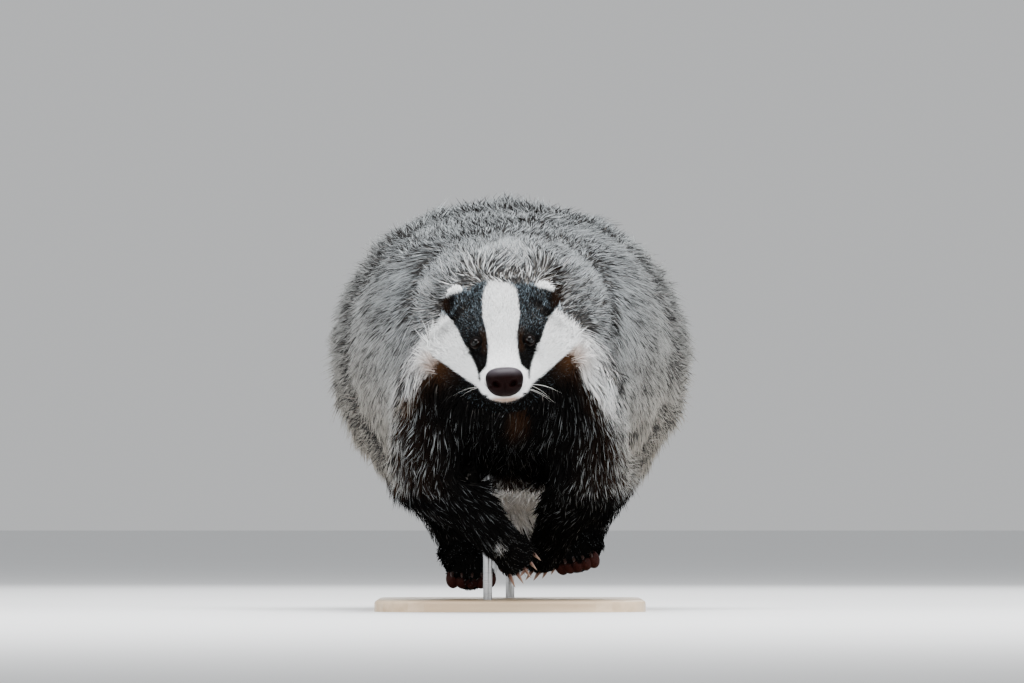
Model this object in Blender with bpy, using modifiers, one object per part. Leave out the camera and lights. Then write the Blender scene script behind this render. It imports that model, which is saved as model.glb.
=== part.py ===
"""European badger at full gallop, a life-size still model on a flat display stand.

Metres, +Z up. The badger faces -Y and its own left side is at +X. The origin is the middle of the
underside of the stand's base, which lies on the floor. All outlines run out to the tips of the coat.
"""

import math

import bmesh
import bpy
import numpy as np
from mathutils import Matrix, Vector

COLLECTION = "european_badger"

# Fits and mesh sizes
GAP = 0.0003
CUT = 0.0004
VOXEL = 0.0032
BODY_TRIANGLES = 3500

# Smoothing and thinning of the joined body: gentle on the muzzle and the feet, less so on the head
SMOOTH_ROUNDS = 22
GENTLE = 0.28
HEAD_WEIGHT = 0.75
MUZZLE_Y = -0.335
HEAD_Y = -0.262
FOOT_Z = 0.085

# Trunk sections from the nape to the root of the tail: y, middle height, half width, half height.
# The trunk rolls a little to the badger's left in its stride.
TRUNK_SQUARENESS = 2.2
TRUNK_PIVOT_Z = 0.230
TRUNK_ROLL = math.radians(4.0)
TRUNK = (
    (-0.255, 0.240, 0.052, 0.052),
    (-0.212, 0.236, 0.082, 0.083),
    (-0.165, 0.233, 0.102, 0.100),
    (-0.105, 0.232, 0.124, 0.116),
    (-0.040, 0.232, 0.144, 0.130),
    (0.025, 0.231, 0.160, 0.141),
    (0.085, 0.228, 0.163, 0.145),
    (0.145, 0.223, 0.149, 0.139),
    (0.205, 0.218, 0.118, 0.113),
    (0.255, 0.220, 0.074, 0.072),
    (0.286, 0.224, 0.026, 0.026),
)
GROIN_CENTRE = (0.0, 0.130, 0.108)
GROIN_RADII = (0.046, 0.062, 0.047)

# Head sections from the lips to the nape, in the upright head: y, middle height, half width, half height
HEAD_X = -0.0065
HEAD_PIVOT_Z = 0.235
HEAD_ROLL = math.radians(-3.0)
HEAD_SQUARENESS = 2.25
HEAD = (
    (-0.4030, 0.1975, 0.0125, 0.0095),
    (-0.3960, 0.1985, 0.0205, 0.0155),
    (-0.3820, 0.2020, 0.0245, 0.0210),
    (-0.3640, 0.2080, 0.0285, 0.0280),
    (-0.3450, 0.2145, 0.0360, 0.0365),
    (-0.3200, 0.2210, 0.0430, 0.0460),
    (-0.2900, 0.2280, 0.0480, 0.0550),
    (-0.2550, 0.2340, 0.0540, 0.0590),
    (-0.2200, 0.2360, 0.0640, 0.0680),
)
RUFF_SQUARENESS = 1.9
RUFF = (
    (-0.3850, 0.2010, 0.0200, 0.0140),
    (-0.3600, 0.2080, 0.0400, 0.0210),
    (-0.3300, 0.2170, 0.0600, 0.0270),
    (-0.2950, 0.2250, 0.0720, 0.0330),
    (-0.2600, 0.2300, 0.0740, 0.0420),
    (-0.2200, 0.2320, 0.0700, 0.0520),
)

# Nose pad, eyes and ears, in the upright head
NOSE_CENTRE = (0.0, -0.4000, 0.2015)
NOSE_RADII = (0.0160, 0.0115, 0.0130)
EYE_RADIUS = 0.0053
EYE_CENTRE = (0.0232, -0.3530, 0.2365)
EAR_CENTRE = (0.0415, -0.2860, 0.2690)
EAR_RADII = (0.0065, 0.0150, 0.0200)
EAR_LEAN = math.radians(-18.0)
EAR_TURN = math.radians(34.0)
EAR_CUP_RADII = (0.0060, 0.0098, 0.0135)
EAR_CUP_SHIFT = 0.0066
EAR_CUP_RISE = 0.0020

# Tail, from the rump to the tip: centre and radius
TAIL = (
    (0.0, 0.240, 0.250, 0.036),
    (0.0, 0.295, 0.248, 0.031),
    (0.002, 0.350, 0.236, 0.027),
    (0.004, 0.393, 0.220, 0.018),
    (0.005, 0.412, 0.212, 0.009),
)

# Legs, from the root to the ball of the foot: centre and radius. The fore legs have swung back under
# the chest, the hind legs forward under the belly, and no foot touches the ground.
FORELEG_RIGHT = (
    (-0.050, -0.178, 0.215, 0.052),
    (-0.072, -0.150, 0.130, 0.036),
    (-0.042, -0.162, 0.097, 0.026),
    (-0.014, -0.170, 0.068, 0.0180),
    (0.001, -0.154, 0.054, 0.0165),
)
FORELEG_LEFT = (
    (0.050, -0.178, 0.215, 0.052),
    (0.068, -0.150, 0.130, 0.038),
    (0.053, -0.121, 0.098, 0.028),
    (0.040, -0.095, 0.070, 0.0185),
    (0.032, -0.080, 0.052, 0.0165),
)
HINDLEG_RIGHT = (
    (-0.067, 0.140, 0.190, 0.075),
    (-0.084, 0.060, 0.140, 0.040),
    (-0.064, 0.072, 0.098, 0.027),
    (-0.049, 0.080, 0.062, 0.0205),
    (-0.041, 0.044, 0.041, 0.0185),
    (-0.036, 0.012, 0.0345, 0.0175),
)
HINDLEG_LEFT = (
    (0.069, 0.140, 0.190, 0.075),
    (0.090, 0.066, 0.142, 0.040),
    (0.079, 0.082, 0.104, 0.028),
    (0.069, 0.093, 0.073, 0.0205),
    (0.064, 0.058, 0.054, 0.0180),
    (0.059, 0.030, 0.049, 0.0165),
)

# Toes and claws. Each foot has a direction of the toes, and of the row that they stand in.
TOES = 5
TOE_RADIUS = 0.0062
FORE_TOE = 0.014
HIND_TOE = 0.012
FORE_CLAW = 0.021
HIND_CLAW = 0.013
CLAW_RADIUS = 0.0019
CLAW_BEND = math.radians(28.0)
CLAW_SIDES = 5
CLAW_RINGS = 3
CLAW_ROOT = 0.003
TOE_FAN = 0.38
FEET = {
    "forepaw_right": dict(ball=FORELEG_RIGHT[-1], toward=(0.56, 0.30, -0.77), row=(0.62, 0.45, 0.62),
                          palm=(-0.20, 0.93, 0.22), spread=0.0260, toe=FORE_TOE, claw=FORE_CLAW),
    "forepaw_left": dict(ball=FORELEG_LEFT[-1], toward=(-0.28, 0.46, -0.84), row=(0.80, 0.58, 0.10),
                         palm=(-0.40, 0.80, 0.30), spread=0.0260, toe=FORE_TOE, claw=FORE_CLAW),
    "hind_foot_right": dict(ball=HINDLEG_RIGHT[-1], toward=(0.10, -0.98, -0.10), row=(1.0, 0.10, 0.0),
                            palm=(0.0, 0.10, -1.0), spread=0.0300, toe=HIND_TOE, claw=HIND_CLAW),
    "hind_foot_left": dict(ball=HINDLEG_LEFT[-1], toward=(-0.10, -0.98, -0.12), row=(0.96, -0.10, 0.22),
                           palm=(0.20, 0.10, -1.0), spread=0.0260, toe=HIND_TOE, claw=HIND_CLAW),
}

# Display stand: a low board and two rods that run up into the brisket and the groin
BASE_LENGTH = 0.480
BASE_WIDTH = 0.240
BASE_THICKNESS = 0.010
BASE_CORNER = 0.060
BASE_EDGE = 0.0025
ROD_RADIUS = 0.0040
ROD_SOCKET = 0.006
ROD_FRONT = (-0.020, -0.085, 0.140)
ROD_REAR = (0.0, 0.130, 0.095)

# Thin cuts that part the body, in order: the piece cut, a point of the cut, the cut's normal, the name
# on the normal's side, the name that stays, and the cut's radius where it must not reach further.
# A name with {side} covers a left and a right body.
WIDE = 1.0
JOINT_REACH = 0.043
CUTS = [
    ("body", (0.0, 0.281, 0.245), (0.0, 1.0, 0.10), "tail", "body", WIDE),
    ("body", (0.0, -0.262, 0.235), (0.0, -1.0, 0.12), "head", "body", WIDE),
    ("head", (0.0, -0.396, 0.1905), (0.0, 0.05, -1.0), "lower_jaw", "head", WIDE),
    ("body", (0.0, -0.205, 0.240), (0.0, -0.86, 0.51), "neck", "body", WIDE),
    ("body", (0.0, -0.035, 0.230), (0.0, -1.0, 0.0), "chest", "body", WIDE),
    ("chest", (0.0, -0.200, 0.125), (0.0, -0.185, -0.983), "forearm_{side}", "chest", WIDE),
    ("body", (0.0, 0.000, 0.100), (0.0, -0.911, 0.411), "abdomen", "hindquarters", WIDE),
]
for side, way, foreleg, hindleg in (("left", 1, FORELEG_LEFT, HINDLEG_LEFT),
                                    ("right", -1, FORELEG_RIGHT, HINDLEG_RIGHT)):
    arm = ("chest", (way * 0.072, -0.150, 0.165), (way * 0.75, -0.35, -0.56))
    thigh = ("hindquarters", (way * 0.024, 0.080, 0.061), (way * 0.89, -0.107, -0.436))
    CUTS.append((*arm, "upper_arm_" + side, "chest", WIDE))
    CUTS.append((*thigh, "thigh_" + side, "hindquarters", WIDE))
    for rows, whole, end in ((foreleg, "forearm_", "forepaw_"), (hindleg, "thigh_", "hind_foot_")):
        above, joint, below = (Vector(row[:3]) for row in rows[2:5])
        bend = (joint - above).normalized() + (below - joint).normalized()
        CUTS.append((whole + side, tuple(joint), tuple(bend), end + side, whole + side, JOINT_REACH))


# Colours, roughness and metallic value by the start of a node's name
COAT = ((0.26, 0.26, 0.25), 0.85, 0.0)
FINISHES = {
    "head": ((0.62, 0.62, 0.60), 0.80, 0.0),
    "lower_jaw": ((0.60, 0.60, 0.58), 0.80, 0.0),
    "ear": ((0.045, 0.040, 0.038), 0.85, 0.0),
    "eye": ((0.012, 0.008, 0.006), 0.08, 0.0),
    "nose": ((0.050, 0.022, 0.020), 0.38, 0.0),
    "upper_arm": ((0.020, 0.019, 0.017), 0.85, 0.0),
    "fore": ((0.016, 0.015, 0.014), 0.85, 0.0),
    "hind_foot": ((0.016, 0.015, 0.014), 0.85, 0.0),
    "fore_claw": ((0.38, 0.29, 0.23), 0.45, 0.0),
    "hind_claw": ((0.20, 0.14, 0.11), 0.45, 0.0),
    "stand_base": ((0.55, 0.44, 0.33), 0.45, 0.0),
    "stand_rod": ((0.45, 0.45, 0.46), 0.30, 1.0),
}
SHARP_ANGLE = math.radians(50.0)


def clear_scene():
    """Removes every object of the open file, so that the model stands alone."""
    for old in list(bpy.data.objects):
        bpy.data.objects.remove(old, do_unlink=True)


def new_collection(name):
    """A collection linked to the scene."""
    group = bpy.data.collections.new(name)
    bpy.context.scene.collection.children.link(group)
    return group


def material(name, colour, roughness, metallic=0.0):
    """A Principled material of one colour."""
    made = bpy.data.materials.new(name)
    made.use_nodes = True
    shader = made.node_tree.nodes["Principled BSDF"]
    shader.inputs["Base Color"].default_value = (*colour, 1.0)
    shader.inputs["Roughness"].default_value = roughness
    shader.inputs["Metallic"].default_value = metallic
    return made


def add_object(name, mesh, finish=None):
    """A named object for a mesh, in the model's collection."""
    made = bpy.data.objects.new(name, mesh)
    parts.objects.link(made)
    if finish is not None:
        mesh.materials.clear()
        mesh.materials.append(finish)
    return made


def mesh_of(shape, name):
    """Turns a bmesh into a mesh with smooth faces."""
    bmesh.ops.recalc_face_normals(shape, faces=shape.faces)
    made = bpy.data.meshes.new(name)
    shape.to_mesh(made)
    shape.free()
    made.shade_smooth()
    return made


def apply_modifiers(thing):
    """Gives an object the mesh that its modifiers make, and drops them."""
    bpy.context.view_layer.update()
    evaluated = thing.evaluated_get(bpy.context.evaluated_depsgraph_get())
    made = bpy.data.meshes.new_from_object(evaluated)
    thing.modifiers.clear()
    thing.data = made


def boolean(thing, cutter):
    """Takes a cutter away from an object, exactly."""
    step = thing.modifiers.new("cut", "BOOLEAN")
    step.operation = "DIFFERENCE"
    step.solver = "EXACT"
    step.object = cutter
    apply_modifiers(thing)


def add_cutter(name, shape):
    """A guide object that is drawn as wires and never rendered."""
    made = bpy.data.objects.new(name, mesh_of(shape, name))
    cutters.objects.link(made)
    made.hide_render = True
    made.display_type = "WIRE"
    return made


def through(rows, steps):
    """Rows of numbers on a smooth curve that passes through the given rows."""
    rows = np.array(rows)
    ends = np.vstack([2 * rows[0] - rows[1], rows, 2 * rows[-1] - rows[-2]])
    t = np.linspace(0.0, 1.0, steps, endpoint=False)[:, None]
    spans = []
    for a, b, c, d in zip(ends, ends[1:], ends[2:], ends[3:]):
        cubic = 3 * b - a - 3 * c + d
        square = 2 * a - 5 * b + 4 * c - d
        spans.append(b + 0.5 * ((c - a) * t + square * t**2 + cubic * t**3))
    return np.vstack(spans + [rows[-1:]])


def tipped(x, pivot_z, roll):
    """The matrix that tips an upright shape about a long axis, and sets it off the middle."""
    pivot = Matrix.Translation((x, 0.0, pivot_z))
    back = Matrix.Translation((0.0, 0.0, -pivot_z))
    return pivot @ Matrix.Rotation(roll, 4, "Y") @ back


def upright_head():
    """The place of the upright head's frame in the model."""
    return tipped(HEAD_X, HEAD_PIVOT_Z, HEAD_ROLL)


def add_sections(shape, rows, squareness, place, sides=40, steps=5):
    """Lofts oval sections square to Y: each is a superellipse, and both ends are closed."""
    angle = np.linspace(0.0, 2 * math.pi, sides, endpoint=False)
    power = 2.0 / squareness
    across = np.sign(np.cos(angle)) * np.abs(np.cos(angle)) ** power
    up = np.sign(np.sin(angle)) * np.abs(np.sin(angle)) ** power
    rings = []
    for y, height, half_width, half_height in through(rows, steps):
        spots = [(half_width * a, y, height + half_height * b) for a, b in zip(across, up)]
        rings.append([shape.verts.new(place @ Vector(spot)) for spot in spots])
    for first, second in zip(rings, rings[1:]):
        for i in range(sides):
            j = (i + 1) % sides
            shape.faces.new((first[i], first[j], second[j], second[i]))
    shape.faces.new(rings[0][::-1])
    shape.faces.new(rings[-1])


def add_ball(shape, place, radii, fineness=3):
    """Adds an ellipsoid."""
    spot = place @ Matrix.Diagonal((*radii, 1.0))
    bmesh.ops.create_icosphere(shape, subdivisions=fineness, radius=1.0, matrix=spot)


def add_limb(shape, rows, steps=7):
    """Adds a tapered limb as a close row of balls along a smooth line."""
    for x, y, z, radius in through(rows, steps):
        add_ball(shape, Matrix.Translation((x, y, z)), (radius, radius, radius))


def toe_lines(foot):
    """The root, the tip and the direction of each toe of a foot, fanned out along its row."""
    toward = Vector(foot["toward"]).normalized()
    row = Vector(foot["row"])
    row = (row - row.dot(toward) * toward).normalized()
    ball = Vector(foot["ball"][:3])
    lines = []
    for i in range(TOES):
        side = i / (TOES - 1) - 0.5
        way = (toward + TOE_FAN * side * row).normalized()
        root = ball + side * foot["spread"] * row
        reach = foot["toe"] * (1.15 - 1.2 * side * side)
        lines.append((root, root + reach * way, way))
    return lines


def body_mesh():
    """The whole coated body as overlapping closed shapes: trunk, head, ruff, tail, legs and toes."""
    shape = bmesh.new()
    head = upright_head()
    add_sections(shape, TRUNK, TRUNK_SQUARENESS, tipped(0.0, TRUNK_PIVOT_Z, TRUNK_ROLL))
    add_sections(shape, HEAD, HEAD_SQUARENESS, head)
    add_sections(shape, RUFF, RUFF_SQUARENESS, head)
    add_ball(shape, Matrix.Translation(GROIN_CENTRE), GROIN_RADII)
    for limb in (TAIL, FORELEG_RIGHT, FORELEG_LEFT, HINDLEG_RIGHT, HINDLEG_LEFT):
        add_limb(shape, limb)
    for foot in FEET.values():
        for root, tip, _way in toe_lines(foot):
            add_limb(shape, ((*root, TOE_RADIUS * 1.15), (*tip, TOE_RADIUS)), steps=4)
    return mesh_of(shape, "body")


def mark_fine(body):
    """A vertex group that is light on the head and the feet, where the mesh keeps its detail."""
    group = body.vertex_groups.new(name="plain")
    spots = np.array([v.co for v in body.data.vertices])
    muzzle = (spots[:, 1] < MUZZLE_Y) | (spots[:, 2] < FOOT_Z)
    head = ~muzzle & (spots[:, 1] < HEAD_Y)
    for chosen, weight in ((muzzle, GENTLE), (head, HEAD_WEIGHT), (~muzzle & ~head, 1.0)):
        group.add(np.flatnonzero(chosen).tolist(), weight, "REPLACE")
    return group.name


def grown_body():
    """Grows the body's shapes into one closed skin, smooths it and thins its mesh."""
    body = add_object("body", body_mesh())
    grow = body.modifiers.new("grow", "REMESH")
    grow.mode = "VOXEL"
    grow.voxel_size = VOXEL
    apply_modifiers(body)
    smooth = body.modifiers.new("smooth", "SMOOTH")
    smooth.vertex_group = mark_fine(body)
    smooth.factor = 0.5
    smooth.iterations = SMOOTH_ROUNDS
    thin = body.modifiers.new("thin", "DECIMATE")
    thin.vertex_group = smooth.vertex_group
    thin.ratio = BODY_TRIANGLES / (2.0 * len(body.data.polygons))
    apply_modifiers(body)
    body.vertex_groups.clear()
    return body


def disc(point, normal, radius):
    """A thin round plate square to a normal, as thick as one cut."""
    shape = bmesh.new()
    turn = Vector((0.0, 0.0, 1.0)).rotation_difference(Vector(normal)).to_matrix().to_4x4()
    bmesh.ops.create_cone(shape, cap_ends=True, segments=24, radius1=radius, radius2=radius,
                          depth=CUT, matrix=Matrix.Translation(point) @ turn)
    return add_cutter("cut_plate", shape)


def loose_bodies(thing):
    """Splits an object's mesh into its connected bodies, as new meshes, the largest first."""
    shape = bmesh.new()
    shape.from_mesh(thing.data)
    shape.verts.index_update()
    label = [-1] * len(shape.verts)
    groups = []
    for start in shape.verts:
        if label[start.index] >= 0:
            continue
        label[start.index] = len(groups)
        front = [start]
        size = 0
        while front:
            size += 1
            for edge in front.pop().link_edges:
                for other in edge.verts:
                    if label[other.index] < 0:
                        label[other.index] = len(groups)
                        front.append(other)
        groups.append(size)
    meshes = []
    for number in sorted(range(len(groups)), key=lambda k: -groups[k]):
        body = shape.copy()
        body.verts.ensure_lookup_table()
        others = [v for v in body.verts if label[v.index] != number]
        bmesh.ops.delete(body, geom=others, context="VERTS")
        meshes.append(mesh_of(body, "piece"))
    shape.free()
    return meshes


def middle(mesh):
    """The middle of a mesh's vertices."""
    return Vector(np.array([v.co for v in mesh.vertices]).mean(axis=0))


def part_body(body):
    """Parts the body with thin cuts, and returns its pieces by name."""
    pieces = {"body": body}
    for whole, point, normal, over, under, radius in CUTS:
        thing = pieces.pop(whole)
        boolean(thing, disc(point, normal, radius))
        meshes = loose_bodies(thing)
        bpy.data.objects.remove(thing)
        for mesh in meshes:
            spot = middle(mesh)
            beyond = (spot - Vector(point)).dot(Vector(normal)) > 0
            name = (over if beyond else under).format(side="left" if spot.x > 0 else "right")
            pieces[name] = add_object(name, mesh)
    return pieces


def nose_shape(grow):
    """The nose pad's flattened ball, at the front of the muzzle."""
    shape = bmesh.new()
    place = upright_head() @ Matrix.Translation(NOSE_CENTRE)
    size = Matrix.Diagonal((*[r + grow for r in NOSE_RADII], 1.0))
    bmesh.ops.create_uvsphere(shape, u_segments=16, v_segments=8, radius=1.0, matrix=place @ size)
    return shape


def add_nose(holders):
    """The nose pad, in a socket of the muzzle and the lip."""
    add_object("nose_pad", mesh_of(nose_shape(0.0), "nose_pad"))
    socket = add_cutter("nose_socket", nose_shape(GAP))
    for piece in holders:
        boolean(piece, socket)


def add_eyes(head_piece):
    """The eyeballs, each in a round socket."""
    for side, way in (("left", 1), ("right", -1)):
        centre = upright_head() @ Matrix.Translation((way * EYE_CENTRE[0], *EYE_CENTRE[1:]))
        shape = bmesh.new()
        bmesh.ops.create_uvsphere(shape, u_segments=12, v_segments=8, radius=EYE_RADIUS, matrix=centre)
        add_object("eye_" + side, mesh_of(shape, "eye"))
        shape = bmesh.new()
        bmesh.ops.create_uvsphere(shape, u_segments=12, v_segments=8, radius=EYE_RADIUS + 2 * GAP,
                                  matrix=centre)
        boolean(head_piece, add_cutter("eye_socket", shape))


def ear_shape(way, grow):
    """A flattened ball for one ear, its top leaning in and its cup turned forward."""
    turn = Matrix.Rotation(way * EAR_LEAN, 4, "Y") @ Matrix.Rotation(-way * EAR_TURN, 4, "Z")
    place = upright_head() @ Matrix.Translation((way * EAR_CENTRE[0], *EAR_CENTRE[1:])) @ turn
    shape = bmesh.new()
    size = Matrix.Diagonal((*[r + grow for r in EAR_RADII], 1.0))
    bmesh.ops.create_uvsphere(shape, u_segments=12, v_segments=8, radius=1.0, matrix=place @ size)
    return shape, place


def add_ears(head_piece):
    """The ears, hollowed on their outer side, each rooted in a socket of the head."""
    for side, way in (("left", 1), ("right", -1)):
        shape, place = ear_shape(way, 0.0)
        ear = add_object("ear_" + side, mesh_of(shape, "ear"))
        shape, _place = ear_shape(way, GAP)
        boolean(head_piece, add_cutter("ear_socket", shape))
        cup = bmesh.new()
        hollow = place @ Matrix.Translation((way * EAR_CUP_SHIFT, 0.0, EAR_CUP_RISE))
        bmesh.ops.create_uvsphere(cup, u_segments=10, v_segments=6, radius=1.0,
                                  matrix=hollow @ Matrix.Diagonal((*EAR_CUP_RADII, 1.0)))
        boolean(ear, add_cutter("ear_cup", cup))


def add_claw(shape, root, way, palm, length, grow):
    """Adds a horn bent toward the palm: round rings that narrow along an arc to a point."""
    palm = (Vector(palm) - Vector(palm).dot(way) * way).normalized()
    flank = way.cross(palm)
    radius = length / CLAW_BEND
    rings = []
    for k in range(CLAW_RINGS):
        bend = CLAW_BEND * k / CLAW_RINGS
        middle_spot = root + radius * (math.sin(bend) * way + (1 - math.cos(bend)) * palm)
        up = math.cos(bend) * palm - math.sin(bend) * way
        size = CLAW_RADIUS * (1 - k / CLAW_RINGS) ** 0.6 + grow
        ring = []
        for i in range(CLAW_SIDES):
            angle = 2 * math.pi * i / CLAW_SIDES
            ring.append(shape.verts.new(middle_spot + size * (math.cos(angle) * up * 1.25
                                                             + math.sin(angle) * flank * 0.9)))
        rings.append(ring)
    tip = shape.verts.new(root + radius * (math.sin(CLAW_BEND) * way + (1 - math.cos(CLAW_BEND)) * palm))
    for first, second in zip(rings, rings[1:]):
        for i in range(CLAW_SIDES):
            j = (i + 1) % CLAW_SIDES
            shape.faces.new((first[i], first[j], second[j], second[i]))
    for i in range(CLAW_SIDES):
        shape.faces.new((rings[-1][i], rings[-1][(i + 1) % CLAW_SIDES], tip))
    shape.faces.new(rings[0][::-1])


def add_claws(pieces):
    """The claws, five to a foot, each rooted a little way into its toe."""
    for foot_name, foot in FEET.items():
        limb, side = foot_name.rsplit("_", 1)
        kind = "fore" if limb == "forepaw" else "hind"
        sockets = bmesh.new()
        for number, (_root, tip, way) in enumerate(toe_lines(foot), start=1):
            start = tip - CLAW_ROOT * way
            shape = bmesh.new()
            add_claw(shape, start, way, foot["palm"], foot["claw"], 0.0)
            name = f"{kind}_claw_{side}_{number}"
            add_object(name, mesh_of(shape, name))
            add_claw(sockets, start - 2 * GAP * way, way, foot["palm"], foot["claw"], GAP)
        boolean(pieces[foot_name], add_cutter(foot_name + "_sockets", sockets))


def rod_shape(spot, radius, foot, head):
    """An upright rod from a foot height to a head height."""
    shape = bmesh.new()
    place = Matrix.Translation((spot[0], spot[1], (foot + head) / 2))
    bmesh.ops.create_cone(shape, cap_ends=True, segments=16, radius1=radius, radius2=radius,
                          depth=head - foot, matrix=place)
    return shape


def add_stand(pieces):
    """The board, and two rods that stand in it and end in bores in the brisket and the groin."""
    shape = bmesh.new()
    size = Matrix.Diagonal((BASE_WIDTH, BASE_LENGTH, BASE_THICKNESS, 1.0))
    bmesh.ops.create_cube(shape, size=1.0, matrix=Matrix.Translation((0, 0, BASE_THICKNESS / 2)) @ size)
    upright = [e for e in shape.edges if abs(e.verts[0].co.z - e.verts[1].co.z) > GAP]
    bmesh.ops.bevel(shape, geom=upright, offset=BASE_CORNER, segments=6, profile=0.5, affect="EDGES")
    rim = [e for e in shape.edges if min(v.co.z for v in e.verts) > BASE_THICKNESS - GAP]
    bmesh.ops.bevel(shape, geom=rim, offset=BASE_EDGE, segments=2, profile=0.5, affect="EDGES")
    base = add_object("stand_base", mesh_of(shape, "stand_base"))
    foot = BASE_THICKNESS - ROD_SOCKET
    for name, spot, holder in (("stand_rod_front", ROD_FRONT, "chest"), ("stand_rod_rear", ROD_REAR,
                                                                         "hindquarters")):
        rod = mesh_of(rod_shape(spot, ROD_RADIUS, foot, spot[2]), name)
        add_object(name, rod)
        bore = add_cutter(name + "_bore", rod_shape(spot, ROD_RADIUS + GAP, foot - GAP, spot[2] + GAP))
        boolean(base, bore)
        boolean(pieces[holder], bore)


def dress():
    """Gives every piece its own material, and smooth faces between its sharp edges."""
    for thing in parts.objects:
        colour, roughness, metallic = next(
            (FINISHES[word] for word in sorted(FINISHES, key=len, reverse=True)
             if thing.name.startswith(word)), COAT)
        thing.data.materials.clear()
        thing.data.materials.append(material(thing.name, colour, roughness, metallic))
        thing.data.shade_smooth()
        thing.data.set_sharp_from_angle(angle=SHARP_ANGLE)


def main():
    """Builds the badger and its stand."""
    pieces = part_body(grown_body())
    add_nose([pieces["head"], pieces["lower_jaw"]])
    add_eyes(pieces["head"])
    add_ears(pieces["head"])
    add_claws(pieces)
    add_stand(pieces)
    dress()


clear_scene()
parts = new_collection(COLLECTION)
cutters = new_collection("cutters")
main()
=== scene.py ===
"""European badger at a gallop on its display stand: skin, coat, eyes, nose, claws, pads and stand."""
import math

import bmesh
import bpy
import numpy as np
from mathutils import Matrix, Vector
from mathutils.bvhtree import BVHTree
from mathutils.kdtree import KDTree


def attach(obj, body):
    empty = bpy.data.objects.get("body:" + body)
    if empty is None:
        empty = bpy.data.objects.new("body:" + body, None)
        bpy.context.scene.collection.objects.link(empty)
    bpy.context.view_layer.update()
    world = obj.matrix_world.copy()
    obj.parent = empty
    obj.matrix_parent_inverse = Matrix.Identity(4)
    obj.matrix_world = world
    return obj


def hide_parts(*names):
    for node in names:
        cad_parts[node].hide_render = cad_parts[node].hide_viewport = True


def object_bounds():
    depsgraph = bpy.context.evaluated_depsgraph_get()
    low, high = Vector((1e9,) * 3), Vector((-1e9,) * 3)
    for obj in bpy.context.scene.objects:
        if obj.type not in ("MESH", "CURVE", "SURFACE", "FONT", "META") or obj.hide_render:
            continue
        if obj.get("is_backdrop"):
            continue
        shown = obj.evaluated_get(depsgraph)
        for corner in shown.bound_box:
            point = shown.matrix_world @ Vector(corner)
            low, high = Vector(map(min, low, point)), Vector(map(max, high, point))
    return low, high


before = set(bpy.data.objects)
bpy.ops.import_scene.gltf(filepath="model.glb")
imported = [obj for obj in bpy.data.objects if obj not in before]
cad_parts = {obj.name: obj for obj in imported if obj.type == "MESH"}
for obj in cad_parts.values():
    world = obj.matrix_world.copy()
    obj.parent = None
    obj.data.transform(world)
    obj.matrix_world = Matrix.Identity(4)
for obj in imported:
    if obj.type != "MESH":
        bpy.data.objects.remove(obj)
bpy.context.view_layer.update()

# The view: a long lens very close to the ground, ten metres in front of the badger's eyes. The lens
# shows 1150 pixels to the metre at the eyes, and tips up a little, so the horizon runs low.
PIXELS = 1024
SENSOR = 36.0
DISTANCE = 10.0
SCALE_AT_EYES = 1150.0
LENS_HEIGHT = 0.090
EYE_PLANE_Y = -0.353
AIM_X = 0.0017
AIM_Z = 0.2365

lens = bpy.data.cameras.new("long_lens")
lens.sensor_width = SENSOR
lens.lens = SENSOR * SCALE_AT_EYES * DISTANCE / PIXELS
lens.clip_start = 0.5
lens.clip_end = 200.0
camera = bpy.data.objects.new("camera", lens)
camera.location = (0.0, EYE_PLANE_Y - DISTANCE, LENS_HEIGHT)
aim = Vector((AIM_X, EYE_PLANE_Y, AIM_Z)) - camera.location
camera.rotation_euler = aim.to_track_quat("-Z", "Y").to_euler()
bpy.context.scene.collection.objects.link(camera)
bpy.context.scene.camera = camera

# Soft studio light: a large panel overhead, a smaller one on each side of the lens, and a pale room.
# Each light is a square panel that faces the middle of the badger.
LIGHT_AIM = Vector((0.0, -0.05, 0.22))
LIGHTS = (
    ("overhead_panel", (0.2, -0.7, 2.6), 2.2, 195.0),
    ("left_panel", (-2.2, -2.4, 0.9), 1.5, 72.0),
    ("right_panel", (2.3, -2.2, 1.0), 1.5, 78.0),
    ("back_panel", (0.3, 2.6, 1.8), 1.6, 55.0),
)
ROOM_COLOUR = (0.62, 0.63, 0.64)
ROOM_STRENGTH = 0.95

for name, place, width, power in LIGHTS:
    panel = bpy.data.lights.new(name, "AREA")
    panel.size = width
    panel.energy = power
    lamp = bpy.data.objects.new(name, panel)
    lamp.location = place
    lamp.rotation_euler = (LIGHT_AIM - lamp.location).to_track_quat("-Z", "Y").to_euler()
    bpy.context.scene.collection.objects.link(lamp)

room = bpy.data.worlds.new("pale_room")
room.use_nodes = True
room.node_tree.nodes["Background"].inputs["Color"].default_value = (*ROOM_COLOUR, 1.0)
room.node_tree.nodes["Background"].inputs["Strength"].default_value = ROOM_STRENGTH
bpy.context.scene.world = room


# The studio floor: a wide sheet of pale paper board, level with the underside of the stand. It is laid
# under the model and is no part of it.
FLOOR_HALF = 40.0


class Wire:
    """A node socket that takes part in sums: the operators on it add Math nodes."""

    def __init__(self, sheet, socket):
        self.sheet = sheet
        self.socket = socket

    def _math(self, operation, *values):
        return self.sheet.node("ShaderNodeMath", {"operation": operation}, values)

    def __add__(self, other):
        return self._math("ADD", self, other)

    __radd__ = __add__

    def __sub__(self, other):
        return self._math("SUBTRACT", self, other)

    def __rsub__(self, other):
        return self._math("SUBTRACT", other, self)

    def __mul__(self, other):
        return self._math("MULTIPLY", self, other)

    __rmul__ = __mul__

    def rise(self, low, high):
        """Smooth step: 0 below low, 1 above high."""
        span = {"interpolation_type": "SMOOTHSTEP", "data_type": "FLOAT"}
        return self.sheet.node("ShaderNodeMapRange", span, {"Value": self, "From Min": low, "From Max": high})


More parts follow.
